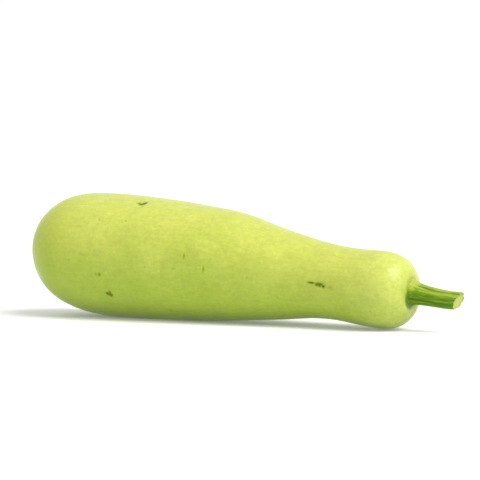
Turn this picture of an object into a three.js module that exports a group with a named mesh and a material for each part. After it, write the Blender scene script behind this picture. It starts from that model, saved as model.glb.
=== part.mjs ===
// A picked bottle gourd lying on its side, with its short cut stem.
//
// Millimetres, +Z up. The gourd lies along X: the wide blossom end is at -X and the stem points to +X.
// It rests on the plane Z = 0 on a small flat spot under its belly, with its weight above that spot and
// the bulge at the stem end just clear of the plane. The origin is the middle of the object's footprint.
//
// Two solids make it: the fruit, which grew as one body, and the ribbed stem that stands on its end.

import * as THREE from "three";

// ---- Fruit: driving dimensions ----

const FRUIT_LENGTH = 271.8; // blossom pole to stem pole, before the stem's seat is taken off

// The body at equal steps from the blossom pole to the stem pole. "radius" is the radius that the body
// would have if its ends were not rounded off, and "middle" is the height of its centreline.
const BODY = [
  { radius: 38.6, middle: 44.0 },
  { radius: 39.1, middle: 42.4 },
  { radius: 40.0, middle: 40.3 },
  { radius: 38.9, middle: 38.9 },
  { radius: 36.9, middle: 37.1 },
  { radius: 33.5, middle: 35.3 },
  { radius: 28.0, middle: 31.7 },
  { radius: 23.0, middle: 28.7 },
  { radius: 22.9, middle: 24.9 },
  { radius: 26.8, middle: 23.5 },
];

const BLOSSOM_ROUNDING = 56.9; // how far the rounding of the blossom end reaches along the body
const BLOSSOM_FULLNESS = 3.1; // 2 is an ellipse, more is squarer
const SHOULDER_ROUNDING = 38.3;
const SHOULDER_FULLNESS = 3.4;

const SIDE_SWELL = 0.015; // the fruit is this much wider than it is tall
const NECK_SWING = 2.5; // the neck leans this far to one side of a straight line

const RESTING_DEPTH = 0.8; // how deep the resting spot under the belly is pressed flat

const BLOSSOM_DIMPLE_RADIUS = 9;
const BLOSSOM_DIMPLE_DEPTH = 1.0;
const BLOSSOM_SCAR_RADIUS = 3.6;
const BLOSSOM_SCAR_HEIGHT = 1.4; // above the bottom of its dimple

const STEM_DIMPLE_RADIUS = 17; // the shallow hollow that the stem stands in
const STEM_DIMPLE_DEPTH = 1.6;

// ---- Stem: driving dimensions ----

const STEM_LENGTH = 29.0; // foot to the middle of the cut
const STEM_RADIUS = 6.05; // over the ribs, just above the foot
const STEM_TAPER = 0.8; // how much thinner it is at the cut
const FOOT_RADIUS = 8.4;
const FOOT_FADE = 4.0; // the flare drops to a third over this length
const FOOT_SLOPE = -0.22; // downhill at the foot, as a rise over a run
const TIP_SLOPE = -0.08; // it levels out towards the cut
const CUT_SLANT = 27; // degrees that the cut leans: its top reaches further out than its bottom
const CUT_TURN = 10; // degrees that the cut is turned to face a little towards -Y

const RIB_COUNT = 5;
const RIB_TURN = 73; // degrees from straight up to the widest rib, towards -Y
const RIB_UNEVENNESS = 0.22; // how much wider than the others that rib has grown
const RIB_DEPTH = 0.15; // groove depth as a share of the radius

const SEAT_GAP = 0.3; // between the stem's foot and the fruit

// ---- Mesh fineness ----

const FRUIT_RINGS = 62;
const FRUIT_SIDES = 64;
const STEM_RINGS = 18;
const STEM_SIDES = 40;

// ---- Helpers ----

const toRadians = THREE.MathUtils.degToRad;
const fade = (value, low, high) => 1 - THREE.MathUtils.smoothstep(value, low, high);

// Directions round a ring, as its share of +Y (side) and of the ring's own up direction.
function directionsRound(sides) {
  const directions = [];
  for (let i = 0; i < sides; i += 1) {
    const angle = (i / sides) * 2 * Math.PI;
    directions.push({ angle, side: Math.cos(angle), up: Math.sin(angle) });
  }
  return directions;
}

// A closed skin over rings that follow each other along +X, with a point closing each end.
function skinOver(rings, firstPole, lastPole) {
  const sides = rings[0].length;
  const points = [firstPole, ...rings.flat(), lastPole];
  const lastIndex = points.length - 1;
  const at = (ring, side) => 1 + ring * sides + (side % sides);
  const faces = [];
  for (let side = 0; side < sides; side += 1) {
    faces.push(0, at(0, side + 1), at(0, side));
    for (let ring = 0; ring + 1 < rings.length; ring += 1) {
      const near = at(ring, side);
      const nearNext = at(ring, side + 1);
      const far = at(ring + 1, side);
      const farNext = at(ring + 1, side + 1);
      faces.push(near, nearNext, farNext, near, farNext, far);
    }
    faces.push(at(rings.length - 1, side), at(rings.length - 1, side + 1), lastIndex);
  }
  const geometry = new THREE.BufferGeometry().setFromPoints(points);
  geometry.setIndex(faces);
  geometry.computeVertexNormals();
  return geometry;
}

// ---- Fruit ----

const bodyLine = (name) =>
  new THREE.SplineCurve(
    BODY.map((station, i) => new THREE.Vector2((i / (BODY.length - 1)) * FRUIT_LENGTH, station[name])),
  );
const radiusLine = bodyLine("radius");
const middleLine = bodyLine("middle");

// 0 at a pole, 1 where the end's rounding stops.
function rounding(fromPole, reach, fullness) {
  const share = Math.max(0, 1 - fromPole / reach);
  return Math.sqrt(Math.max(0, 1 - share ** fullness));
}

// The body's section at a share of its length: how far along it is, its radius and its centre.
function bodySection(share) {
  const { x: along, y: fullRadius } = radiusLine.getPoint(share);
  const atBlossom = rounding(along, BLOSSOM_ROUNDING, BLOSSOM_FULLNESS);
  const atShoulder = rounding(FRUIT_LENGTH - along, SHOULDER_ROUNDING, SHOULDER_FULLNESS);
  const radius = fullRadius * atBlossom * atShoulder;
  const swing = NECK_SWING * Math.sin(Math.PI * (along / FRUIT_LENGTH)) ** 2;
  return { along, radius, centre: new THREE.Vector3(along, swing, middleLine.getPoint(share).y) };
}

// How far the skin sinks along X at the two ends, from its distance to the axis.
function blossomRelief(radius) {
  const dimple = BLOSSOM_DIMPLE_DEPTH * fade(radius, 0, BLOSSOM_DIMPLE_RADIUS);
  const scar = BLOSSOM_SCAR_HEIGHT * fade(radius, BLOSSOM_SCAR_RADIUS * 0.6, BLOSSOM_SCAR_RADIUS);
  return dimple - scar;
}

const stemHollow = (radius) => STEM_DIMPLE_DEPTH * fade(radius, FOOT_RADIUS, STEM_DIMPLE_RADIUS);

// The share of the length at which the shoulder has narrowed to the stem's foot.
function seatShare() {
  let low = 0.9;
  let high = 1;
  for (let step = 0; step < 40; step += 1) {
    const middle = (low + high) / 2;
    if (bodySection(middle).radius > FOOT_RADIUS) {
      low = middle;
    } else {
      high = middle;
    }
  }
  return low;
}

const SEAT_SHARE = seatShare();
const seat = bodySection(SEAT_SHARE);
seat.centre.x -= STEM_DIMPLE_DEPTH;

function makeFruit() {
  const directions = directionsRound(FRUIT_SIDES);
  const rings = [];
  for (let i = 1; i <= FRUIT_RINGS; i += 1) {
    // rings lie closer together towards both ends, where the skin curves most
    const share = (SEAT_SHARE * (1 - Math.cos((Math.PI * i) / FRUIT_RINGS))) / 2;
    const section = bodySection(share);
    const nearBlossom = share < 0.5;
    const sink = nearBlossom ? blossomRelief(section.radius) : -stemHollow(section.radius);
    rings.push(
      directions.map(({ side, up }) => {
        const wide = section.radius * side * (1 + SIDE_SWELL);
        const tall = section.radius * up;
        const point = section.centre.clone().add(new THREE.Vector3(sink, wide, tall - RESTING_DEPTH));
        point.z = Math.max(point.z, 0);
        return point;
      }),
    );
  }
  const blossomPole = bodySection(0).centre.add(new THREE.Vector3(blossomRelief(0), 0, -RESTING_DEPTH));
  const seatMiddle = seat.centre.clone().add(new THREE.Vector3(0, 0, -RESTING_DEPTH));
  return skinOver(rings, blossomPole, seatMiddle);
}

// ---- Stem ----

// Height of the stem's centreline above its foot.
function stemRise(run) {
  const levelling = (TIP_SLOPE - FOOT_SLOPE) / (2 * STEM_LENGTH);
  return FOOT_SLOPE * run + levelling * run ** 2;
}

// Radius over the ribs: a flared foot, then a slow taper to the cut.
function stemRadius(run) {
  const flare = (FOOT_RADIUS - STEM_RADIUS) * Math.exp(-run / FOOT_FADE);
  return STEM_RADIUS + flare - STEM_TAPER * (run / STEM_LENGTH);
}

// Rounded ribs with narrow grooves between them: 1 on a rib, 1 - RIB_DEPTH in a groove.
function ribShape(angle) {
  const fromRib = angle - Math.PI / 2 - toRadians(RIB_TURN);
  const wave = Math.abs(Math.cos((RIB_COUNT * (fromRib - RIB_UNEVENNESS * Math.sin(fromRib))) / 2));
  return 1 - RIB_DEPTH * (1 - wave);
}

function makeStem() {
  const directions = directionsRound(STEM_SIDES);
  const foot = seat.centre.clone().add(new THREE.Vector3(SEAT_GAP, 0, -RESTING_DEPTH));
  const slant = Math.tan(toRadians(CUT_SLANT));
  const turn = Math.tan(toRadians(CUT_TURN));
  const rings = [];
  for (let i = 0; i < STEM_RINGS; i += 1) {
    const share = (i / (STEM_RINGS - 1)) ** 1.5; // closer together in the flare
    rings.push(
      directions.map(({ angle, side, up }) => {
        const flatRun = share * STEM_LENGTH;
        const reach = stemRadius(flatRun) * ribShape(angle);
        // the lean of the cut grows along the stem, from none at the foot
        const run = flatRun + share * reach * (up * slant + side * turn);
        return foot.clone().add(new THREE.Vector3(run, reach * side, stemRise(run) + reach * up));
      }),
    );
  }
  const cutMiddle = foot.clone().add(new THREE.Vector3(STEM_LENGTH, 0, stemRise(STEM_LENGTH)));
  return skinOver(rings, foot, cutMiddle);
}

// ---- Assembly ----

const gourd = new THREE.Group();

const fruit = new THREE.Mesh(
  makeFruit(),
  new THREE.MeshStandardMaterial({ color: "#c6da62", roughness: 0.5, metalness: 0 }),
);
fruit.name = "fruit";

const stem = new THREE.Mesh(
  makeStem(),
  new THREE.MeshStandardMaterial({ color: "#73992c", roughness: 0.6, metalness: 0 }),
);
stem.name = "stem";

gourd.add(fruit, stem);

// The origin goes to the middle of the footprint.
const middle = new THREE.Box3().setFromObject(gourd).getCenter(new THREE.Vector3());
gourd.position.set(-middle.x, -middle.y, 0);
gourd.updateMatrixWorld(true);

export default gourd;
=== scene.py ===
# %% [markdown]
# # A bottle gourd lying on its side
# The gourd has two grown pieces: the fruit, with its smooth tender skin, and the short ribbed stem that
# was left on when it was cut. A plain solid model already holds their size and place. This lesson models
# a fine skin and a fine stem on those solids, gives each its natural finish, and lights them like goods
# on a white table. The solid model is loaded first, because every measure below is taken from it.

# %% Load the solid model
import math

import bpy
import numpy as np
from mathutils import Matrix, Vector


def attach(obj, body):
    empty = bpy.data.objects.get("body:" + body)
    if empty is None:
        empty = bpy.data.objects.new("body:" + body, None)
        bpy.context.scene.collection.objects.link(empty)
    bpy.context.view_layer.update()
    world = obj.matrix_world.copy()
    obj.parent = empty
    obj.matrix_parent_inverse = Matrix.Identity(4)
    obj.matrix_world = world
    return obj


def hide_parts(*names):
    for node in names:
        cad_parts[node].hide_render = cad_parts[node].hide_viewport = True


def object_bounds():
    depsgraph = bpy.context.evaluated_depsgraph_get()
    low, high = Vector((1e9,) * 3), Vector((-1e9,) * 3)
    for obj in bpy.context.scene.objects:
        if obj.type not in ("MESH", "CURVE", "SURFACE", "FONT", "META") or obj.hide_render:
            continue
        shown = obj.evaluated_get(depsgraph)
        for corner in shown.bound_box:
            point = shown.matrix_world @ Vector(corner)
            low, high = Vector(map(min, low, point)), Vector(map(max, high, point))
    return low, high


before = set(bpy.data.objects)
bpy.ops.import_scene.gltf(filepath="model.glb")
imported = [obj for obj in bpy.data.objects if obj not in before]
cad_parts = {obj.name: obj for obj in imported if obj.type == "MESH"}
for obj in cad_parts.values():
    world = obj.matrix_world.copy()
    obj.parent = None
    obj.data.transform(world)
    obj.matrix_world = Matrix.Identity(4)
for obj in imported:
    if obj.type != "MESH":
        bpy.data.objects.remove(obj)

MM = 0.001
cad_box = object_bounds()
print("the gourd's box in mm:", [[round(c / MM, 1) for c in corner] for corner in cad_box])

# %% [markdown]
# ## Camera
# A short lens from close by would swell the near end and shrink the far one. A long lens from about a
# metre keeps the two ends in natural proportion. The camera stands low and a third of a right angle round
# towards the stem, so the cut face of the stem comes towards the viewer. It looks at a point that is
# given in mm.

# %% Place the camera
VIEW_TURN = math.radians(31.217)
VIEW_RISE = math.radians(1.988)
VIEW_DISTANCE = 1.05  # m
VIEW_AIM = Vector((-4.3, 8.12, 50.73)) * MM
VIEW_LENS = 126  # mm of focal length


def direction(turn, rise):
    """The way to a thing that stands turned round from the near side and raised above the floor."""
    flat = math.cos(rise)
    return Vector((math.sin(turn) * flat, -math.cos(turn) * flat, math.sin(rise)))


camera_place = VIEW_AIM + direction(VIEW_TURN, VIEW_RISE) * VIEW_DISTANCE
looking = (VIEW_AIM - camera_place).to_track_quat("-Z", "Y").to_euler()
bpy.ops.object.camera_add(location=camera_place, rotation=looking)
camera = bpy.context.object
camera.data.lens = VIEW_LENS
bpy.context.scene.camera = camera
print("the camera stands", round(camera_place.z / MM), "mm above the floor")

# %% [markdown]
# ## Floor and light
# A white floor that runs far back and white walls of light give the bright, even ground of a product
# table. The walls could be modelled, but as a world of light they reach every side alike and cost nothing
# to render. A product table's top is opal acrylic with a faint lamp below it. A little emission on the
# floor does the same: it softens the shadow under the gourd, and more of it would flood the underside
# with light. The lamp is a sun with a very wide disc: it lights near and far floor evenly, where a small
# lamp would leave the floor behind the gourd grey. It stands at the stem's side, so the blossom end falls
# away in tone.

# %% Make the floor
FLOOR_SIZE = 30.0  # m
FLOOR_WHITE = 0.75
FLOOR_GLOW = 0.15  # light given off, where white paper under the lamp gives back about 1
OPAL_ROUGHNESS = 0.9  # sanded, so that it shows no reflection
WHITE_LIGHT = (1, 1, 1, 1)


def clear_selection():
    """Leaves edit mode and deselects every object, so that the next tool acts only on what it is given."""
    if bpy.context.mode != "OBJECT":
        bpy.ops.object.mode_set(mode="OBJECT")
    bpy.ops.object.select_all(action="DESELECT")


def name_new_piece(name):
    """Names the object that was just added, and returns it."""
    piece = bpy.context.object
    piece.name = name
    piece.data.name = name
    return piece


clear_selection()
bpy.ops.mesh.primitive_plane_add(size=FLOOR_SIZE)
floor = name_new_piece("studio_floor")
opal = bpy.data.materials.new("lit_opal_acrylic")
opal.use_nodes = True
opal_shader = opal.node_tree.nodes["Principled BSDF"]
opal_shader.inputs["Base Color"].default_value = (FLOOR_WHITE, FLOOR_WHITE, FLOOR_WHITE, 1)
opal_shader.inputs["Roughness"].default_value = OPAL_ROUGHNESS
opal_shader.inputs["Emission Color"].default_value = WHITE_LIGHT
opal_shader.inputs["Emission Strength"].default_value = FLOOR_GLOW
floor.data.materials.append(opal)
print("the floor is", FLOOR_SIZE, "m wide")

# %% Light the studio
WALL_LIGHT = 1.05  # just past white, so that the ground comes out pure white
CEILING_LIGHT = 0.72
CEILING_START = 0.1  # the walls begin to fade this far up, where straight up is 1
CEILING_FULL = 0.5  # and the even ceiling starts here
LAMP_STRENGTH = 3.1
LAMP_WIDTH = math.radians(42)
LAMP_TURN = math.radians(84)
LAMP_RISE = math.radians(50)
LAMP_DISTANCE = 2.0  # m, though a sun lights alike from any distance


def add_node(tree, kind, inputs=None, **settings):
    """Adds a node with its own settings. Each input is a value, or another node's socket to link from."""
    node = tree.nodes.new(kind)
    for name, value in settings.items():
        setattr(node, name, value)
    for socket, value in (inputs or {}).items():
        if isinstance(value, bpy.types.NodeSocket):
            tree.links.new(value, node.inputs[socket])
        else:
            node.inputs[socket].default_value = value
    return node


world = bpy.data.worlds.new("studio_walls")
world.use_nodes = True
bpy.context.scene.world = world
sky = world.node_tree
sky.nodes.clear()
sky_way = add_node(sky, "ShaderNodeTexCoord")
sky_height = add_node(sky, "ShaderNodeSeparateXYZ", {0: sky_way.outputs["Generated"]})
sky_fade = {
    "Value": sky_height.outputs["Z"],
    "From Min": CEILING_START,
    "From Max": CEILING_FULL,
    "To Min": WALL_LIGHT,
    "To Max": CEILING_LIGHT,
}
sky_glow = add_node(sky, "ShaderNodeMapRange", sky_fade, interpolation_type="SMOOTHSTEP")
sky_light = {"Color": WHITE_LIGHT, "Strength": sky_glow.outputs[0]}
sky_shader = add_node(sky, "ShaderNodeBackground", sky_light)
add_node(sky, "ShaderNodeOutputWorld", {"Surface": sky_shader.outputs[0]})

lamp_way = direction(LAMP_TURN, LAMP_RISE)
lamp_facing = lamp_way.to_track_quat("Z", "Y").to_euler()
bpy.ops.object.light_add(type="SUN", location=lamp_way * LAMP_DISTANCE, rotation=lamp_facing)
lamp = bpy.context.object
lamp.name = "soft_lamp"
lamp.data.energy = LAMP_STRENGTH
lamp.data.angle = LAMP_WIDTH
bpy.context.scene.view_settings.view_transform = "Standard"
print("the lamp stands", round(math.degrees(LAMP_RISE)), "degrees up")

# %% [markdown]
# ## The body of the fruit
# A gourd is one smooth solid of nearly round sections that swell, narrow to a neck and swell again. It
# could be sculpted from a ball, but a row of rings gives exact control of the outline: one circle is
# extruded from section to section, and moved and resized at each. A subdivision surface then turns the
# rings into one flowing skin. The sections are measured on the solid model, so that the skin lies on it.

# %% Measure the body's sections
SAME_RING = 2e-6  # m, points this close along X lie on one ring
END_POINT = 1 * MM  # a ring that is narrower than this is the point that closes an end


def measure_rings(node):
    """The rings of a solid that runs along X: the centre, half width and half height of each."""
    points = np.array([vertex.co[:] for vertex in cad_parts[node].data.vertices])
    rings = []
    for x in np.unique(points[:, 0].round(6)):  # to a micrometre
        ring = points[abs(points[:, 0] - x) < SAME_RING]
        wide = np.ptp(ring[:, 1]) / 2
        if wide > END_POINT:
            side_point = ring[ring[:, 1].argmax()]
            centre = Vector((x, side_point[1] - wide, side_point[2]))
            rings.append({"centre": centre, "wide": wide, "tall": ring[:, 2].max() - centre.z})
    return rings


sections = measure_rings("fruit")
seat = sections[-1]
widest = max(section["wide"] for section in sections)
print(len(sections), "sections, the widest", round(2 * widest / MM, 1), "mm across")

# %% Extrude the skin from section to section
SKIN_SIDES = 64
# A subdivided ring shrinks a little inside its corners, so every ring starts that much larger.
RING_FULLNESS = 3 / (2 + math.cos(2 * math.pi / SKIN_SIDES))


def select_where(piece, test):
    """In edit mode, selects just the vertices whose place passes the test."""
    bpy.ops.mesh.select_all(action="DESELECT")
    bpy.ops.object.mode_set(mode="OBJECT")
    for vertex in piece.data.vertices:
        vertex.select = bool(test(vertex.co))
    bpy.ops.object.mode_set(mode="EDIT")


def new_ring(name, sides):
    """Adds an open ring of radius 1 that faces along X, and starts to edit it."""
    clear_selection()
    bpy.ops.mesh.primitive_circle_add(vertices=sides, radius=1, rotation=(0, math.pi / 2, 0))
    piece = name_new_piece(name)
    bpy.ops.object.transform_apply(location=True, rotation=True, scale=True)
    bpy.ops.object.mode_set(mode="EDIT")
    bpy.ops.mesh.select_mode(type="VERT")
    bpy.ops.mesh.select_all(action="SELECT")
    return piece


def extrude_ring(before, after):
    """Extrudes the selected ring to the next section's place and size."""
    step = after["centre"] - before["centre"]
    growth = (1, after["wide"] / before["wide"], after["tall"] / before["tall"])
    bpy.ops.mesh.extrude_edges_move(TRANSFORM_OT_translate={"value": step})
    bpy.ops.transform.resize(value=growth, center_override=after["centre"])


def close_pole():
    """Closes the selected ring with a fan of faces to its middle."""
    bpy.ops.mesh.extrude_edges_move(TRANSFORM_OT_translate={"value": (0, 0, 0)})
    bpy.ops.mesh.merge(type="CENTER")


def extrude_small_rings(before, pole, rings):
    """Extrudes on through round rings to a closed pole. Each has a radius and a way along X, in mm."""
    for radius, way in rings:
        after = {"centre": pole + Vector((way * MM, 0, 0)), "wide": radius * MM, "tall": radius * MM}
        extrude_ring(before, after)
        before = after
    close_pole()


first = sections[0]
fruit_skin = new_ring("fruit_skin", SKIN_SIDES)
first_size = Vector((1, first["wide"] * RING_FULLNESS, first["tall"] * RING_FULLNESS))
bpy.ops.transform.resize(value=first_size, center_override=(0, 0, 0))
bpy.ops.transform.translate(value=first["centre"])
for before, after in zip(sections, sections[1:-1]):
    extrude_ring(before, after)
bpy.ops.object.mode_set(mode="OBJECT")
print("the tube has", len(fruit_skin.data.polygons), "faces")

# %% Close the two ends
# Round the stem's foot the skin dips, then runs on up into the foot. At the other end the flower leaves a
# corky button in a shallow dimple. Each ring is its radius and its way along X in mm, the outer one first.
FOOT_RINGS = [(8.6, 0.05), (8.2, 0.45), (7.4, 0.75), (6.0, 0.9), (3.0, 0.95)]
BUTTON_RINGS = [(3.3, 1.1), (2.9, 0.9), (2.6, 0.25), (2.0, 0.0), (1.2, 0.1), (0.6, 0.45)]
HAIR = 0.01 * MM  # places closer than this count as one

blossom_tip = Vector((cad_box[0].x, first["centre"].y, first["centre"].z))
bpy.ops.object.mode_set(mode="EDIT")
extrude_small_rings(sections[-2], seat["centre"], FOOT_RINGS)
select_where(fruit_skin, lambda place: place.x < first["centre"].x + HAIR)
extrude_small_rings(first, blossom_tip, BUTTON_RINGS)
bpy.ops.mesh.select_all(action="SELECT")
bpy.ops.mesh.normals_make_consistent(inside=False)
print("the cage has", len(fruit_skin.data.polygons), "faces")

# %% Smooth the skin
SKIN_LEVELS = 2


def apply_modifier(piece, kind, **settings):
    """Adds a modifier with its settings and applies it at once."""
    clear_selection()
    piece.select_set(True)
    bpy.context.view_layer.objects.active = piece
    modifier = piece.modifiers.new(kind.lower(), kind)
    for name, value in settings.items():
        setattr(modifier, name, value)
    bpy.ops.object.modifier_apply(modifier=modifier.name)


apply_modifier(fruit_skin, "SUBSURF", levels=SKIN_LEVELS, render_levels=SKIN_LEVELS)
bpy.ops.object.shade_smooth()
print("the skin has", len(fruit_skin.data.polygons), "faces")

# %% [markdown]
# ### Swells in the skin
# Grown skin is never a true surface of revolution: it has long, very low swells that bend the
# reflections. They could be pushed in by hand, but a cloud texture through a Displace modifier spreads
# them evenly. They are a fraction of a millimetre high, so they show in the light and not in the outline.

# %% Add low swells
SWELL_WIDTH = 28 * MM
SWELL_HEIGHT = 0.5 * MM
swells = bpy.data.textures.new("low_swells", "CLOUDS")
swells.noise_scale = SWELL_WIDTH
swells.noise_depth = 1
apply_modifier(
    fruit_skin,
    "DISPLACE",
    texture=swells,
    texture_coords="LOCAL",
    strength=SWELL_HEIGHT,
    mid_level=0.5,
)
print("the swells are up to", SWELL_HEIGHT / MM, "mm high")

# %% [markdown]
# ### Folds and scabs
# Where the stem grows out, its ribs run on into the fruit as low soft folds, and each old scab lies in a
# slight hollow. Both could be sculpted with a brush, but a brush leaves no number to change later.
# Proportional editing does the same by measure: it moves a few points, and lets the skin around them
# follow with a smooth fall.

# %% Pull up the folds of the shoulder
RIB_COUNT = 5
RIB_TURN = math.radians(17)  # the middle of the widest rib faces the near side, turned up this far
RIB_UNEVENNESS = 0.22  # how much wider than the others that rib has grown
FOLD_RADIUS = 11.5  # mm from the stem's axis
FOLD_HEIGHT = 0.45  # mm
FOLD_REACH = 5.0  # mm
RAY_START = 20  # mm out from the stem's foot, clear of the skin
SPOT_SIZE = 1.2  # mm around a spot that move in full


def rib_way(number):
    """The way out from the stem's axis to the middle of a rib, counted upwards from the widest."""
    even = number / RIB_COUNT * 2 * math.pi
    angle = even
    for _ in range(8):  # each round comes closer to the uneven place
        angle = even + RIB_UNEVENNESS * math.sin(angle)
    return Vector((0, -math.cos(angle + RIB_TURN), math.sin(angle + RIB_TURN)))


def pull_skin(spot, move, reach):
    """Moves the skin at a spot, with a smooth fall over the reach around it."""
    bpy.ops.object.mode_set(mode="EDIT")
    select_where(fruit_skin, lambda place: (place - spot).length < SPOT_SIZE * MM)
    bpy.ops.transform.translate(
        value=move,
        use_proportional_edit=True,
        proportional_edit_falloff="SMOOTH",
        proportional_size=reach,
    )
    bpy.ops.object.mode_set(mode="OBJECT")


for number in range(RIB_COUNT):
    above = seat["centre"] + rib_way(number) * FOLD_RADIUS * MM + Vector((RAY_START * MM, 0, 0))
    _, fold_top, fold_normal, _ = fruit_skin.ray_cast(above, (-1, 0, 0))
    pull_skin(fold_top, fold_normal * FOLD_HEIGHT * MM, FOLD_REACH * MM)
print(RIB_COUNT, "folds, each", FOLD_HEIGHT, "mm high")

# %% Press hollows for the scabs
SCAB_DEPTH = 0.3  # mm
SCAB_REACH = 3.5  # mm
# The middle of each scab: mm along from the blossom tip, and degrees round from the near side upwards.
SCABS = [(89.6, 63.8), (76.6, -33.8), (220.4, -0.5), (60.8, 137.3)]
sections_x = [section["centre"].x for section in sections]
sections_y = [section["centre"].y for section in sections]
sections_z = [section["centre"].z for section in sections]


def skin_point(along, angle):
    """The point and the outward normal of the skin at a place along and round the gourd."""
    x = cad_box[0].x + along * MM
    middle = Vector((x, np.interp(x, sections_x, sections_y), np.interp(x, sections_x, sections_z)))
    outward = Vector((0, -math.cos(math.radians(angle)), math.sin(math.radians(angle))))
    _, point, normal, _ = fruit_skin.ray_cast(middle, outward)
    return point, normal


for along, angle in SCABS:
    point, normal = skin_point(along, angle)
    pull_skin(point, normal * -SCAB_DEPTH * MM, SCAB_REACH * MM)
print(len(SCABS), "hollows, each", SCAB_DEPTH, "mm deep")

# %% [markdown]
# ### The resting spot
# A heavy fruit lies on a small flat where its skin gives. The flat could be cut off with a bisect, but a
# cut leaves a sharp rim. Here all points below the table are pressed up onto it, as the weight does:
# resizing them to nothing in Z about the table's height does that in one move.

# %% Press the belly flat
bpy.ops.object.mode_set(mode="EDIT")
select_where(fruit_skin, lambda place: place.z < 0)
bpy.ops.transform.resize(value=(1, 1, 0), center_override=(0, 0, 0))
bpy.ops.object.mode_set(mode="OBJECT")
resting = [vertex.co for vertex in fruit_skin.data.vertices if vertex.co.z < HAIR]
print(len(resting), "points rest on the table")

# %% [markdown]
# ## The stem
# The stem that is left on a picked gourd is a short woody stalk with five rounded ribs. It flares into
# the fruit, thins towards its end, and was cut on a slant. A stalk could be a bent cylinder with carved
# grooves, but real ribs run through its whole length, so the first ring is given the ribs and then
# extruded: every later ring inherits them.

# %% Shape the first ring into ribs
STEM_SIDES = 60
RIB_DEPTH = 0.17
SAME_POINT = 0.01  # while the ring still has a radius of 1


def rib_rise(place):
    """1 on top of a rib and 0 down in a groove, for a place seen from the stem's axis."""
    turned = math.atan2(place.z, -place.y) - RIB_TURN
    return abs(math.cos(RIB_COUNT * (turned - RIB_UNEVENNESS * math.sin(turned)) / 2))


stem_rind = new_ring("stem_rind", STEM_SIDES)
for ring_place in [vertex.co.copy() for vertex in stem_rind.data.vertices]:
    reach = 1 - RIB_DEPTH * (1 - rib_rise(ring_place))
    select_where(stem_rind, lambda place: (place - ring_place).length < SAME_POINT)
    bpy.ops.transform.resize(value=(1, reach, reach), center_override=(0, 0, 0))
print("the ribbed ring has", len(stem_rind.data.vertices), "points")

# %% Extrude the stem along its bend
STEM_LENGTH = 29.0  # from the foot to the middle of the cut, in mm as all sizes of the stem
STEM_RADIUS = 6.05  # over the ribs, just above the foot
STEM_TAPER = 0.8  # how much thinner it is at the cut
FOOT_RADIUS = 8.4  # over the ribs, at the foot itself
FOOT_FADE = 4.0  # the flare of the foot drops to a third over this length
FOOT_SLOPE = -0.22  # downhill at the foot, as a rise over a run
TIP_SLOPE = -0.08
FOOT_GAP = 0.3  # mm between the foot and the fruit
STEM_RUNS = [0, 0.5, 1.2, 2.2, 3.5, 5, 7.5, 11, 15, 19, 22.5, 24.6]  # mm from the foot to each ring
foot_place = seat["centre"] + Vector((FOOT_GAP * MM, 0, 0))


def stem_station(run):
    """The stem's section at a run in mm, as a ring to extrude to."""
    levelling = (TIP_SLOPE - FOOT_SLOPE) / (2 * STEM_LENGTH)
    rise = FOOT_SLOPE * run + levelling * run**2
    flare = (FOOT_RADIUS - STEM_RADIUS) * math.exp(-run / FOOT_FADE)
    radius = STEM_RADIUS + flare - STEM_TAPER * run / STEM_LENGTH
    centre = foot_place + Vector((run, 0, rise)) * MM
    return {"centre": centre, "wide": radius * MM, "tall": radius * MM}


stations = [stem_station(run) for run in STEM_RUNS]
foot = stations[0]
bpy.ops.mesh.select_all(action="SELECT")
bpy.ops.transform.resize(value=(1, foot["wide"], foot["tall"]), center_override=(0, 0, 0))
bpy.ops.transform.translate(value=foot_place)
for before, after in zip(stations, stations[1:]):
    extrude_ring(before, after)
print("the stem has", len(stations), "rings before its cut")

# %% Cut the stem on a slant
CUT_SLANT = math.radians(27)  # the top of the cut reaches further out than its bottom
CUT_TURN = math.radians(10)  # and its far side further than its near side
# The rings that make the rounded rim and the sunk face: the way past the middle of the cut in mm, and the
# share of the tip's radius.
CUT_RIM = [(-0.8, 1.0), (-0.25, 0.98), (0, 0.93), (0.05, 0.86)]
CUT_FACE = [(-0.15, 0.79), (-0.3, 0.45), (-0.35, 0.15)]

tip = stem_station(STEM_LENGTH)
cut_way = Vector((1, -math.tan(CUT_TURN), -math.tan(CUT_SLANT))).normalized()
rim = tip | {"centre": tip["centre"] + cut_way * CUT_RIM[0][0] * MM}
extrude_ring(stations[-1], rim)
slant_growth = 1 / math.cos(CUT_SLANT)
turn_growth = 1 / math.cos(CUT_TURN)
# With no window open the rotate tool turns against the angle it is given. A turned ring looks narrower from
# the stem's end, so it is stretched until it fills the stem again.
bpy.ops.transform.rotate(value=-CUT_SLANT, orient_axis="Y", center_override=rim["centre"])
bpy.ops.transform.resize(value=(slant_growth, 1, slant_growth), center_override=rim["centre"])
bpy.ops.transform.rotate(value=CUT_TURN, orient_axis="Z", center_override=rim["centre"])
bpy.ops.transform.resize(value=(turn_growth, turn_growth, 1), center_override=rim["centre"])
cut_angles = [round(math.degrees(angle)) for angle in (CUT_SLANT, CUT_TURN)]
print("the cut leans and turns by these degrees:", cut_angles)

# %% Sink the cut face and close both ends
FOOT_INSET = 0.9  # a second ring this much smaller keeps the foot's edge crisp
STEM_LEVELS = 2

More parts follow.
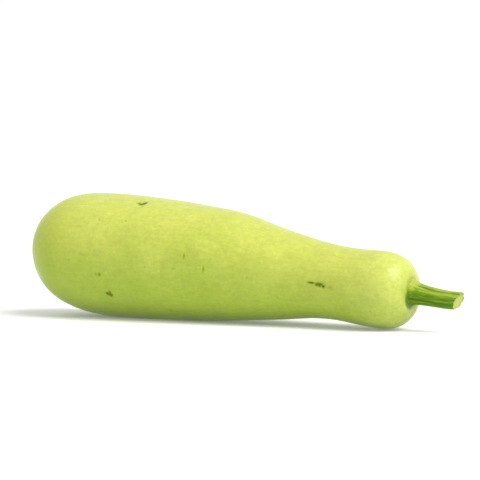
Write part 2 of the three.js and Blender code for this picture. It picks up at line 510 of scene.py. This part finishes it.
cut_rings = CUT_RIM + CUT_FACE
for (way_before, size_before), (way, size) in zip(cut_rings, cut_rings[1:]):
    shrink = size / size_before
    step = cut_way * (way - way_before) * MM
    bpy.ops.mesh.extrude_edges_move(TRANSFORM_OT_translate={"value": step})
    bpy.ops.transform.resize(value=(shrink,) * 3, center_override=tip["centre"] + cut_way * way * MM)
close_pole()
select_where(stem_rind, lambda place: place.x < foot_place.x + HAIR)
bpy.ops.mesh.extrude_edges_move(TRANSFORM_OT_translate={"value": (0, 0, 0)})
bpy.ops.transform.resize(value=(1, FOOT_INSET, FOOT_INSET), center_override=foot_place)
close_pole()
bpy.ops.mesh.select_all(action="SELECT")
bpy.ops.mesh.normals_make_consistent(inside=False)
apply_modifier(stem_rind, "SUBSURF", levels=STEM_LEVELS, render_levels=STEM_LEVELS)
bpy.ops.object.shade_smooth()
print("the stem has", len(stem_rind.data.polygons), "faces")

# %% [markdown]
# ## Finish of the fruit: tender gourd skin
# The skin of a young bottle gourd is thin, waxy and covered in fine down. That gives the eye three
# things: a pale yellow-green body colour, a broad soft gloss, and a whitish edge where the down is seen
# end on. The colour is painted darker and greener where the skin faces down, as painted shade. It could be
# painted by hand on the mesh, but patterns worked out from real sizes stay sharp at any distance and cover
# the hidden side as well.

# %% Start the skin's material
def colour(hex_code):
    """Turns an sRGB hex colour into the linear colour that a shader works with."""
    channels = [int(hex_code[i : i + 2], 16) / 255 for i in (1, 3, 5)]
    linear = [c / 12.92 if c <= 0.04045 else ((c + 0.055) / 1.055) ** 2.4 for c in channels]
    return (*linear, 1)


def new_finish(name, roughness, ior):
    """A new material with a Principled shader. Returns the material, its node tree and the shader."""
    finish = bpy.data.materials.new(name)
    finish.use_nodes = True
    shader = finish.node_tree.nodes["Principled BSDF"]
    shader.inputs["Roughness"].default_value = roughness
    shader.inputs["IOR"].default_value = ior
    return finish, finish.node_tree, shader


def scale_for(size):
    """The texture scale that makes a pattern's features about this many mm wide."""
    return 1 / (size * MM)


# Waxy skin: a broad soft gloss over a colour that varies from cloud to cloud.
gourd_skin, skin, skin_shader = new_finish("tender_gourd_skin", roughness=0.45, ior=1.45)
skin_at = add_node(skin, "ShaderNodeTexCoord")
skin_place = skin_at.outputs["Object"]
skin_xyz = add_node(skin, "ShaderNodeSeparateXYZ", {0: skin_place})
skin_facing = add_node(skin, "ShaderNodeSeparateXYZ", {0: skin_at.outputs["Normal"]})
print("the skin's patterns are measured from the object's own origin")

# %% Paint light and shade into the skin's colour
# Painted light and shade: the skin is lighter and yellower where it faces up, darker and greener where it
# faces down.
PAINTED_LIT_SKIN = colour("#b7be53")
PAINTED_SHADE_SKIN = colour("#9cb138")
PAINTED_BELLY_SHADE = colour("#7f991a")  # painted shade: the underside, darker and greener still
# The way that skin faces is 1 straight up, 0 to the side and -1 straight down.
FULL_PAINTED_LIGHT = 0.75
FULL_PAINTED_SHADE = -0.6
FULL_BELLY_SHADE = -1.0
BELLY_SHADE_SHARE = 0.42
SHADE_EDGE_DRIFT = 45  # mm, the size of the drifts in the edge of the shade
DRIFT_PUSH = 0.25  # how far a drift pushes that edge
NOISE_LOW = 0.3  # nearly all of a noise lies between these two
NOISE_HIGH = 0.7

drift_cloud = {"Vector": skin_place, "Scale": scale_for(SHADE_EDGE_DRIFT)}
drift = add_node(skin, "ShaderNodeTexNoise", drift_cloud)
drift_span = {
    "Value": drift.outputs["Fac"],
    "From Min": NOISE_LOW,
    "From Max": NOISE_HIGH,
    "To Min": -DRIFT_PUSH,
    "To Max": DRIFT_PUSH,
}
drift_shift = add_node(skin, "ShaderNodeMapRange", drift_span)
facing_up = {0: skin_facing.outputs["Z"], 1: drift_shift.outputs[0]}
painted_light_reach = add_node(skin, "ShaderNodeMath", facing_up, operation="ADD")
in_shade = {"Value": painted_light_reach.outputs[0], "From Min": FULL_PAINTED_LIGHT, "From Max": FULL_PAINTED_SHADE}
shade = add_node(skin, "ShaderNodeMapRange", in_shade, interpolation_type="SMOOTHSTEP")
shade_paint_mix = {0: shade.outputs[0], 6: PAINTED_LIT_SKIN, 7: PAINTED_SHADE_SKIN}
shade_painted = add_node(skin, "ShaderNodeMix", shade_paint_mix, data_type="RGBA")
under = {
    "Value": skin_facing.outputs["Z"],
    "From Min": FULL_PAINTED_SHADE,
    "From Max": FULL_BELLY_SHADE,
    "To Max": BELLY_SHADE_SHARE,
}
belly = add_node(skin, "ShaderNodeMapRange", under, interpolation_type="SMOOTHSTEP")
belly_mix = {0: belly.outputs[0], 6: shade_painted.outputs[2], 7: PAINTED_BELLY_SHADE}
bellied = add_node(skin, "ShaderNodeMix", belly_mix, data_type="RGBA")
print("the shaded side is greener, and the belly greener still")

# %% Pale the shoulder round the stem
PALE_SHOULDER = colour("#bac362")
SHOULDER_START = 80  # mm from the middle of the gourd
SHOULDER_END = 116
SHOULDER_SHARE = 0.5

near_stem = {
    "Value": skin_xyz.outputs["X"],
    "From Min": SHOULDER_START * MM,
    "From Max": SHOULDER_END * MM,
    "To Max": SHOULDER_SHARE,
}
paleness = add_node(skin, "ShaderNodeMapRange", near_stem, interpolation_type="SMOOTHSTEP")
pale_mix = {0: paleness.outputs[0], 6: bellied.outputs[2], 7: PALE_SHOULDER}
paled = add_node(skin, "ShaderNodeMix", pale_mix, data_type="RGBA")
print("the last", SHOULDER_END - SHOULDER_START, "mm before the stem are paler")

# %% Mottle the skin
# Each layer: its size in mm, its stretch along the gourd, and how much it darkens or lightens the skin.
MOTTLES = [
    {"size": 22, "stretch": 1.0, "depth": 0.025},
    {"size": 8, "stretch": 1.2, "depth": 0.042},
    {"size": 3.2, "stretch": 1.0, "depth": 0.06},
    {"size": 1.6, "stretch": 9.0, "depth": 0.055},
    {"size": 1.2, "stretch": 1.0, "depth": 0.05},
]

mottled = paled.outputs[2]
for mottle in MOTTLES:
    stretched = {"Vector": skin_place, "Scale": (1 / mottle["stretch"], 1, 1)}
    mottle_at = add_node(skin, "ShaderNodeMapping", stretched)
    cloud = {"Vector": mottle_at.outputs[0], "Scale": scale_for(mottle["size"])}
    blotch = add_node(skin, "ShaderNodeTexNoise", cloud | {"Detail": 3, "Roughness": 0.6})
    tint = {
        "Value": blotch.outputs["Fac"],
        "From Min": NOISE_LOW,
        "From Max": NOISE_HIGH,
        "To Min": 1 - mottle["depth"],
        "To Max": 1 + mottle["depth"],
    }
    strength = add_node(skin, "ShaderNodeMapRange", tint)
    tinted = {0: mottled, "Scale": strength.outputs[0]}
    mottled = add_node(skin, "ShaderNodeVectorMath", tinted, operation="SCALE").outputs[0]
print(len(MOTTLES), "layers of mottling")

# %% Scatter pale flecks and a few dark specks
# A fleck or a speck is full within the first distance from its middle and gone past the second, each as a
# share of the spacing.
PALE_FLECK = colour("#dbe091")
FLECK_SPACING = 2.6  # mm
FLECK_FADE = (0.1, 0.5)
FLECK_SHARE = 0.05
DARK_SPECK = colour("#7d8a32")
SPECK_SPACING = 13  # mm
SPECK_FADE = (0.03, 0.07)
SPECK_SHARE = 0.5

fleck_cell = {"Vector": skin_place, "Scale": scale_for(FLECK_SPACING)}
flecks = add_node(skin, "ShaderNodeTexVoronoi", fleck_cell)
fleck_rim = {
    "Value": flecks.outputs["Distance"],
    "From Min": FLECK_FADE[1],
    "From Max": FLECK_FADE[0],
    "To Max": FLECK_SHARE,
}
fleck = add_node(skin, "ShaderNodeMapRange", fleck_rim, interpolation_type="SMOOTHSTEP")
fleck_mix = {0: fleck.outputs[0], 6: mottled, 7: PALE_FLECK}
flecked = add_node(skin, "ShaderNodeMix", fleck_mix, data_type="RGBA")
speck_cell = {"Vector": skin_place, "Scale": scale_for(SPECK_SPACING)}
specks = add_node(skin, "ShaderNodeTexVoronoi", speck_cell)
speck_rim = {
    "Value": specks.outputs["Distance"],
    "From Min": SPECK_FADE[1],
    "From Max": SPECK_FADE[0],
    "To Max": SPECK_SHARE,
}
speck = add_node(skin, "ShaderNodeMapRange", speck_rim, interpolation_type="SMOOTHSTEP")
speck_mix = {0: speck.outputs[0], 6: flecked.outputs[2], 7: DARK_SPECK}
specked = add_node(skin, "ShaderNodeMix", speck_mix, data_type="RGBA")
print("flecks every", FLECK_SPACING, "mm, specks every", SPECK_SPACING, "mm")

# %% [markdown]
# ### Scars
# Leaves and insects leave small corky scars on the growing skin: dots, short ticks and a few wider scabs
# made of several strokes. They could be painted on an unwrapped skin, but the few that there are can be
# placed by measure and stay sharp from close by. Each stroke is an oval of its own size and turn, laid on
# the exact point where a ray from the centreline meets the skin, and noise makes its edge ragged.

# %% Lay the strokes
# Each stroke: mm from the blossom tip, degrees above the near side, length and width in mm, degrees turned
# from the gourd's length, and its darkness.
STROKES = [
    # the check-shaped scab high on the near side
    (87.0, 64.3, 2.6, 2.4, 0, 0.62),
    (88.9, 63.0, 2.6, 2.6, -15, 0.8),
    (90.3, 64.8, 4.0, 2.4, 62, 1.0),
    (91.5, 58.0, 1.6, 1.4, 0, 0.36),
    # the scab low on the near side
    (74.8, -32.9, 2.6, 2.2, -20, 0.95),
    (76.3, -34.2, 2.8, 2.4, -15, 1.0),
    (76.6, -31.4, 2.4, 1.6, 80, 0.75),
    (73.6, -30.7, 1.4, 1.2, 0, 0.32),
    # the long scratch on the neck
    (214.7, 0.4, 5.0, 1.3, -6, 0.8),
    (218.4, -0.4, 2.4, 1.7, 25, 0.95),
    (220.0, -0.6, 2.2, 2.2, -15, 1.0),
    (221.4, 0.6, 1.9, 1.3, 50, 0.7),
    (222.3, -1.8, 2.4, 1.7, -10, 0.85),
    (223.4, 0.2, 1.8, 1.2, 60, 0.5),
    (226.8, -1.3, 4.4, 2.2, -6, 0.34),
    # ticks and dots on the near side
    (132.3, 9.7, 3.2, 1.3, 90, 0.5),
    (145.5, -1.2, 3.6, 1.3, 90, 0.5),
    (72.2, -14.0, 2.3, 2.2, 0, 0.6),
    (69.6, -13.8, 1.5, 2.0, 0, 0.42),
    (71.5, -19.3, 1.2, 1.2, 0, 0.24),
    (75.0, -12.0, 1.2, 1.2, 0, 0.22),
    (95.0, -57.7, 1.6, 1.3, 0, 0.35),
    (113.5, -38.3, 1.5, 1.3, 0, 0.26),
    (84.0, -53.8, 1.4, 1.2, 0, 0.26),
    # the far side and the top have a few of their own
    (60.0, 138.0, 2.4, 1.3, 35, 0.9),
    (61.8, 136.6, 1.5, 1.2, 0, 0.8),
    (118.0, 172.0, 3.4, 1.2, 85, 0.44),
    (151.0, 204.0, 1.6, 1.4, 0, 0.5),
    (188.0, 151.0, 1.5, 1.3, 0, 0.4),
    (233.0, 118.0, 3.6, 1.2, 10, 0.6),
    (41.0, 195.0, 1.6, 1.4, 0, 0.4),
]
HALO = 2.0  # how far a stroke's stain reaches, in half lengths and half widths
RAGGED = 0.55  # mm that the strokes' edges wander
RAGGED_SIZE = 1.1  # mm from one bend of an edge to the next

ragged_cloud = {"Vector": skin_place, "Scale": scale_for(RAGGED_SIZE), "Detail": 2}
ragged = add_node(skin, "ShaderNodeTexNoise", ragged_cloud)
wander = {0: ragged.outputs["Color"], 1: (RAGGED * MM,) * 3, 2: (-RAGGED / 2 * MM,) * 3}
wandering = add_node(skin, "ShaderNodeVectorMath", wander, operation="MULTIPLY_ADD")
scar_place = add_node(skin, "ShaderNodeVectorMath", {0: skin_place, 1: wandering.outputs[0]}).outputs[0]
scars = 0.0
for along, angle, length, width, turn, darkness in STROKES:
    point, normal = skin_point(along, angle)
    lengthwise = (Vector((1, 0, 0)) - normal * normal.x).normalized()
    upright = Matrix((lengthwise, normal.cross(lengthwise), normal)).transposed()
    stroke_turn = (upright @ Matrix.Rotation(math.radians(turn), 3, "Z")).to_euler()
    reach = Vector((length, width, width)) * HALO / 2 * MM
    on_stroke = {"Vector": scar_place, "Location": point, "Rotation": stroke_turn, "Scale": reach}
    stroke_at = add_node(skin, "ShaderNodeMapping", on_stroke, vector_type="TEXTURE")
    oval = add_node(skin, "ShaderNodeTexGradient", {0: stroke_at.outputs[0]}, gradient_type="SPHERICAL")
    dark = add_node(skin, "ShaderNodeMath", {0: oval.outputs["Fac"], 1: darkness}, operation="MULTIPLY")
    darkest = add_node(skin, "ShaderNodeMath", {0: dark.outputs[0], 1: scars}, operation="MAXIMUM")
    scars = darkest.outputs[0]
print(len(STROKES), "strokes of scar")

# %% Colour the scars
# A stain spreads round each scar. Its middle is cork, in two tones.
SCAR_STAIN = colour("#839714")
SCAR_CORK = colour("#5a6a00")
DRY_CORK = colour("#7c8200")

stain_edge = {"Value": scars, "From Min": 0.05, "From Max": 0.42, "To Max": 0.85}
stain = add_node(skin, "ShaderNodeMapRange", stain_edge, interpolation_type="SMOOTHSTEP")
stain_mix = {0: stain.outputs[0], 6: specked.outputs[2], 7: SCAR_STAIN}
stained = add_node(skin, "ShaderNodeMix", stain_mix, data_type="RGBA")
cork_edge = {"Value": scars, "From Min": 0.38, "From Max": 0.62}
cork = add_node(skin, "ShaderNodeMapRange", cork_edge, interpolation_type="SMOOTHSTEP")
dry_share = {"Value": ragged.outputs["Fac"], "From Min": 0.5, "From Max": 0.66}
dry = add_node(skin, "ShaderNodeMapRange", dry_share, interpolation_type="SMOOTHSTEP")
tone_mix = {0: dry.outputs[0], 6: SCAR_CORK, 7: DRY_CORK}
cork_tone = add_node(skin, "ShaderNodeMix", tone_mix, data_type="RGBA")
cork_mix = {0: cork.outputs[0], 6: stained.outputs[2], 7: cork_tone.outputs[2]}
corked = add_node(skin, "ShaderNodeMix", cork_mix, data_type="RGBA")
print("the cork of a scar is dark olive, and lighter where it dried")

# %% [markdown]
# ### The two ends
# The flower leaves a small round corky scar at the blossom end. The skin round that end is painted darker
# and greener as painted shade, most of all on the near side. At the other end a ring round the stem's foot
# is greener, partly its own colour and partly painted shade in the crease there, with an olive line of
# painted shade where the two meet, and a painted shadow, partly the green of the lowest rib, runs out from
# the foot onto the skin. Vertex colours could hold all this, but they would be only as fine as the mesh.
# Each mark is one ball of falling strength about its middle instead.

# %% Colour the blossom scar and the stem ring
BLOSSOM_CORK = colour("#8b7a45")
PAINTED_BLOSSOM_SHADE = colour("#94a71a")
BLOSSOM_RING = colour("#9fae4d")
STEM_RING_AND_SHADE = colour("#9ca32f")
FOOT_CREASE_SHADE = colour("#7f8a08")
FOOT_GREEN_AND_SHADOW = colour("#4c6a00")

# Each ring: its middle, its radius in mm, the share of that where it is full, its colour and its strength.
END_RINGS = [
    # painted shade: the blossom end, turned from the lamp, is painted darker and greener, most of all on
    # the near side
    (blossom_tip, 70, 0.3, PAINTED_BLOSSOM_SHADE, 0.5),
    (blossom_tip + Vector((24, -25, -10)) * MM, 50, 0.15, PAINTED_BLOSSOM_SHADE, 0.3),
    (blossom_tip, 12, 0.7, BLOSSOM_RING, 0.6),
    (blossom_tip, 4.6, 0.3, BLOSSOM_CORK, 0.9),
    # partly the skin's own greener ring, partly painted shade in the crease round the foot
    (seat["centre"], 14, 0.45, STEM_RING_AND_SHADE, 0.5),
    # painted shade: a darker olive line in the crease where the foot meets the skin
    (seat["centre"], 10.0, 0.84, FOOT_CREASE_SHADE, 0.6),
    # partly the green of the foot's flare, partly a painted shadow below the foot
    (seat["centre"] + Vector((0, -2.6, -3.5)) * MM, 7.4, 0.72, FOOT_GREEN_AND_SHADOW, 0.85),
]
ends = corked.outputs[2]
for middle, reach, full, ring_colour, most in END_RINGS:
    ring_spot = {"Vector": scar_place, "Location": middle, "Scale": (reach * MM,) * 3}
    ring_at = add_node(skin, "ShaderNodeMapping", ring_spot, vector_type="TEXTURE")
    ball = add_node(skin, "ShaderNodeTexGradient", {0: ring_at.outputs[0]}, gradient_type="SPHERICAL")
    ring_edge = {"Value": ball.outputs["Fac"], "From Min": 0, "From Max": 1 - full, "To Max": most}
    ring = add_node(skin, "ShaderNodeMapRange", ring_edge, interpolation_type="SMOOTHSTEP")
    ring_mix = {0: ring.outputs[0], 6: ends, 7: ring_colour}
    ends = add_node(skin, "ShaderNodeMix", ring_mix, data_type="RGBA").outputs[2]
skin.links.new(ends, skin_shader.inputs["Base Color"])
print(len(END_RINGS), "rings at the two ends")

# %% Give the skin its gloss and its down
GLOSS_DRIFT = 12  # mm, the size of the glossier and the duller clouds
GLOSSY = 0.27  # the roughness of each
DULL = 0.38
SKIN_GRAIN = 0.9  # mm, drawn coarser than the real pores so that it shows
GRAIN_HEIGHT = 0.03  # mm
CORK_RISE = 2.0  # cork stands out by this many times the grain's height

gloss_cloud = {"Vector": skin_place, "Scale": scale_for(GLOSS_DRIFT), "Detail": 3}
gloss = add_node(skin, "ShaderNodeTexNoise", gloss_cloud)
gloss_span = {
    "Value": gloss.outputs["Fac"],
    "From Min": NOISE_LOW,
    "From Max": NOISE_HIGH,
    "To Min": GLOSSY,
    "To Max": DULL,
}
skin_roughness = add_node(skin, "ShaderNodeMapRange", gloss_span)
cork_matt = {0: skin_roughness.outputs[0], 1: cork.outputs[0]}
matt = add_node(skin, "ShaderNodeMath", cork_matt, operation="MAXIMUM")
skin.links.new(matt.outputs[0], skin_shader.inputs["Roughness"])
grain_cloud = {"Vector": skin_place, "Scale": scale_for(SKIN_GRAIN), "Detail": 2}
grain = add_node(skin, "ShaderNodeTexNoise", grain_cloud)
raised = {0: cork.outputs[0], 1: CORK_RISE, 2: grain.outputs["Fac"]}
relief = add_node(skin, "ShaderNodeMath", raised, operation="MULTIPLY_ADD")
grain_bump = {"Height": relief.outputs[0], "Strength": 0.6, "Distance": GRAIN_HEIGHT * MM}
skin_bump = add_node(skin, "ShaderNodeBump", grain_bump)
skin.links.new(skin_bump.outputs[0], skin_shader.inputs["Normal"])
# The sheen is the down: it whitens the skin where it is seen edge on.
skin_shader.inputs["Specular IOR Level"].default_value = 0.3
skin_shader.inputs["Sheen Weight"].default_value = 0.3
skin_shader.inputs["Sheen Roughness"].default_value = 0.3
skin_shader.inputs["Sheen Tint"].default_value = colour("#f4f6dc")
fruit_skin.data.materials.append(gourd_skin)
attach(fruit_skin, "root")
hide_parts("fruit")
print("the skin's grain is", SKIN_GRAIN, "mm wide")

# %% [markdown]
# ## Finish of the stem: ribbed rind and cut pith
# The stem's rind is green and fibrous: fine darker lines run along it, and the grooves between the ribs
# are dark, partly from their own colour and partly as painted shade. The rind is painted lighter where it
# faces up and darker where it faces down, as painted light and shade. Its foot pales into the skin of the
# fruit, and its top is painted paler as painted light. The cut shows pale moist pith inside a thin brown
# edge that has started to dry. The dark of the grooves could be a pattern of its own, but it would drift
# off the ribs where the stem bends, so the height of each point in its rib is stored on the mesh for the
# material to read.

# %% Store the height of the ribs
rib_heights = []
for vertex in stem_rind.data.vertices:
    run = (vertex.co.x - foot_place.x) / MM
    middle = stem_station(run)["centre"]
    rib_heights.append(rib_rise(vertex.co - middle))
rib_store = stem_rind.data.attributes.new("rib_height", "FLOAT", "POINT")
rib_store.data.foreach_set("value", rib_heights)
print("stored", len(rib_heights), "heights")

# %% Colour the rind
# Painted light and shade: lit and shaded copies of the rind's colour and of the grooves' colour.
PAINTED_LIT_RIND = colour("#8ca52c")
PAINTED_SHADE_RIND = colour("#5d8200")
PAINTED_LIT_GROOVE = colour("#4e551c")
PAINTED_SHADE_GROOVE = colour("#496d00")
FIBRE_RIND = colour("#446a00")
BLEACHED_RIND = colour("#9fb347")
FIBRE_WIDTH = 1.0  # mm, and their length is this many times as much
FIBRE_STRETCH = 16
GROOVE_FRAY = 0.8  # how far the fibres fray the edges of the dark grooves

# Fibrous rind: only a dull gloss, broken by the fibres.
stem_finish, rind, rind_shader = new_finish("ribbed_stem_rind", roughness=0.5, ior=1.4)
rind_shader.inputs["Specular IOR Level"].default_value = 0.25
rind_at = add_node(rind, "ShaderNodeTexCoord")
rind_facing = add_node(rind, "ShaderNodeSeparateXYZ", {0: rind_at.outputs["Normal"]})
stem_slope = math.atan((FOOT_SLOPE + TIP_SLOPE) / 2)
along_stem = {
    "Vector": rind_at.outputs["Object"],
    "Location": foot_place,
    "Rotation": (0, -stem_slope, 0),
}
stem_place = add_node(rind, "ShaderNodeMapping", along_stem, vector_type="TEXTURE").outputs[0]
fibre_stretch = {"Vector": stem_place, "Scale": (1 / FIBRE_STRETCH, 1, 1)}
fibre_at = add_node(rind, "ShaderNodeMapping", fibre_stretch)
fibre_cloud = {"Vector": fibre_at.outputs[0], "Scale": scale_for(FIBRE_WIDTH)}
fibres = add_node(rind, "ShaderNodeTexNoise", fibre_cloud | {"Detail": 3, "Roughness": 0.65})
# Painted light and shade: the rind is lighter where it faces up, darker where it faces down.
painted_light_edge = {"Value": rind_facing.outputs["Z"], "From Min": -0.15, "From Max": 0.55}
painted_light_share = add_node(rind, "ShaderNodeMapRange", painted_light_edge, interpolation_type="SMOOTHSTEP")
painted_light_mix = {0: painted_light_share.outputs[0], 6: PAINTED_SHADE_RIND, 7: PAINTED_LIT_RIND}
rind_colour = add_node(rind, "ShaderNodeMix", painted_light_mix, data_type="RGBA").outputs[2]
fibre_edge = {"Value": fibres.outputs["Fac"], "From Min": 0.47, "From Max": 0.62, "To Max": 0.6}
fibre = add_node(rind, "ShaderNodeMapRange", fibre_edge, interpolation_type="SMOOTHSTEP")
bleached_edge = {"Value": fibres.outputs["Fac"], "From Min": 0.46, "From Max": 0.34, "To Max": 0.45}
bleached = add_node(rind, "ShaderNodeMapRange", bleached_edge, interpolation_type="SMOOTHSTEP")
rib_height = add_node(rind, "ShaderNodeAttribute", attribute_name="rib_height").outputs["Fac"]
fray = {0: fibres.outputs["Fac"], 1: -GROOVE_FRAY, 2: rib_height}
frayed = add_node(rind, "ShaderNodeMath", fray, operation="MULTIPLY_ADD")
# The grooves are darker, partly their own colour and partly painted shade in the recess.
groove_shade_edge = {"Value": frayed.outputs[0], "From Min": -0.02, "From Max": -0.3, "To Max": 0.8}
groove_dark_and_shade = add_node(rind, "ShaderNodeMapRange", groove_shade_edge, interpolation_type="SMOOTHSTEP")
groove_light_mix = {0: painted_light_share.outputs[0], 6: PAINTED_SHADE_GROOVE, 7: PAINTED_LIT_GROOVE}
groove_colour = add_node(rind, "ShaderNodeMix", groove_light_mix, data_type="RGBA").outputs[2]
# Each layer goes over the one before: how much of it shows, and its colour.
for shown, layer_colour in [(fibre, FIBRE_RIND), (bleached, BLEACHED_RIND), (groove_dark_and_shade, groove_colour)]:
    layer = {0: shown.outputs[0], 6: rind_colour, 7: layer_colour}
    rind_colour = add_node(rind, "ShaderNodeMix", layer, data_type="RGBA").outputs[2]
print("fibres are", FIBRE_WIDTH, "mm wide")

# %% Pale the foot of the stem
# Partly the foot's own paler colour where it meets the skin, partly painted light on its top.
PALE_FOOT_AND_LIGHT = colour("#a3ae4a")
PALE_MIDDLE = Vector((1, -1, 7))  # mm from the middle of the foot: its top, a little to the near side
PALE_REACH = 7  # mm
PALE_STRETCH = 1.3  # it is this much wider from side to side
FIBRE_RELIEF = 0.12  # mm

foot_top = foot_place + PALE_MIDDLE * MM
pale_size = Vector((PALE_REACH, PALE_REACH * PALE_STRETCH, PALE_REACH)) * MM
pale_spot = {"Vector": rind_at.outputs["Object"], "Location": foot_top, "Scale": pale_size}
pale_at = add_node(rind, "ShaderNodeMapping", pale_spot, vector_type="TEXTURE")
pale_ball = add_node(rind, "ShaderNodeTexGradient", {0: pale_at.outputs[0]}, gradient_type="SPHERICAL")
pale_edge = {"Value": pale_ball.outputs["Fac"], "From Min": 0.1, "From Max": 0.55, "To Max": 0.9}
pale = add_node(rind, "ShaderNodeMapRange", pale_edge, interpolation_type="SMOOTHSTEP")
foot_mix = {0: pale.outputs[0], 6: rind_colour, 7: PALE_FOOT_AND_LIGHT}
footed = add_node(rind, "ShaderNodeMix", foot_mix, data_type="RGBA")
rind.links.new(footed.outputs[2], rind_shader.inputs["Base Color"])
fibre_bump = {"Height": fibres.outputs["Fac"], "Strength": 0.7, "Distance": FIBRE_RELIEF * MM}
rind_bump = add_node(rind, "ShaderNodeBump", fibre_bump)
rind.links.new(rind_bump.outputs[0], rind_shader.inputs["Normal"])
stem_rind.data.materials.append(stem_finish)
print("the foot pales over", PALE_REACH, "mm")

# %% Colour the cut
CUT_PITH = colour("#a3b245")
CUT_HEART = colour("#afba5f")
CUT_EDGE = colour("#686030")
PITH_GRAIN = 0.8  # mm
PITH_RELIEF = 0.1  # mm
GRAIN_SHARE = 0.25  # how far the grain blurs the line between two colours
CUT_FACING = 0.8  # a face of the cut looks the way of the cut by at least this cosine

# Moist pith: smooth, but too porous to shine.
cut_finish, cut, cut_shader = new_finish("fresh_cut_pith", roughness=0.55, ior=1.4)
cut_at = add_node(cut, "ShaderNodeTexCoord")
cut_spot = {
    "Vector": cut_at.outputs["Object"],
    "Location": tip["centre"],
    "Rotation": (0, CUT_SLANT, -CUT_TURN),
    "Scale": (tip["wide"], tip["wide"] * turn_growth, tip["wide"] * slant_growth),
}
cut_face_at = add_node(cut, "ShaderNodeMapping", cut_spot, vector_type="TEXTURE")
cut_ball = add_node(cut, "ShaderNodeTexGradient", {0: cut_face_at.outputs[0]}, gradient_type="SPHERICAL")
cut_cloud = {"Vector": cut_at.outputs["Object"], "Scale": scale_for(PITH_GRAIN), "Detail": 3}
cut_grain = add_node(cut, "ShaderNodeTexNoise", cut_cloud)
grainy = {0: cut_grain.outputs["Fac"], 1: GRAIN_SHARE, 2: cut_ball.outputs["Fac"]}
cut_depth = add_node(cut, "ShaderNodeMath", grainy, operation="MULTIPLY_ADD")
heart_edge = {"Value": cut_depth.outputs[0], "From Min": 0.3, "From Max": 0.8}
heart = add_node(cut, "ShaderNodeMapRange", heart_edge, interpolation_type="SMOOTHSTEP")
pith_mix = {0: heart.outputs[0], 6: CUT_PITH, 7: CUT_HEART}
pith = add_node(cut, "ShaderNodeMix", pith_mix, data_type="RGBA")
drying_edge = {"Value": cut_depth.outputs[0], "From Min": 0.33, "From Max": 0.19}
drying = add_node(cut, "ShaderNodeMapRange", drying_edge, interpolation_type="SMOOTHSTEP")
edge_mix = {0: drying.outputs[0], 6: pith.outputs[2], 7: CUT_EDGE}
cut_colour = add_node(cut, "ShaderNodeMix", edge_mix, data_type="RGBA")
cut.links.new(cut_colour.outputs[2], cut_shader.inputs["Base Color"])
pith_bump = {"Height": cut_grain.outputs["Fac"], "Distance": PITH_RELIEF * MM}
cut_bump = add_node(cut, "ShaderNodeBump", pith_bump)
cut.links.new(cut_bump.outputs[0], cut_shader.inputs["Normal"])
stem_rind.data.materials.append(cut_finish)
cut_faces = 0
for face in stem_rind.data.polygons:
    if face.normal.dot(cut_way) > CUT_FACING and face.center.x > stations[-1]["centre"].x:
        face.material_index = 1
        cut_faces += 1
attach(stem_rind, "root")
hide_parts("stem")
print(cut_faces, "faces show the cut")
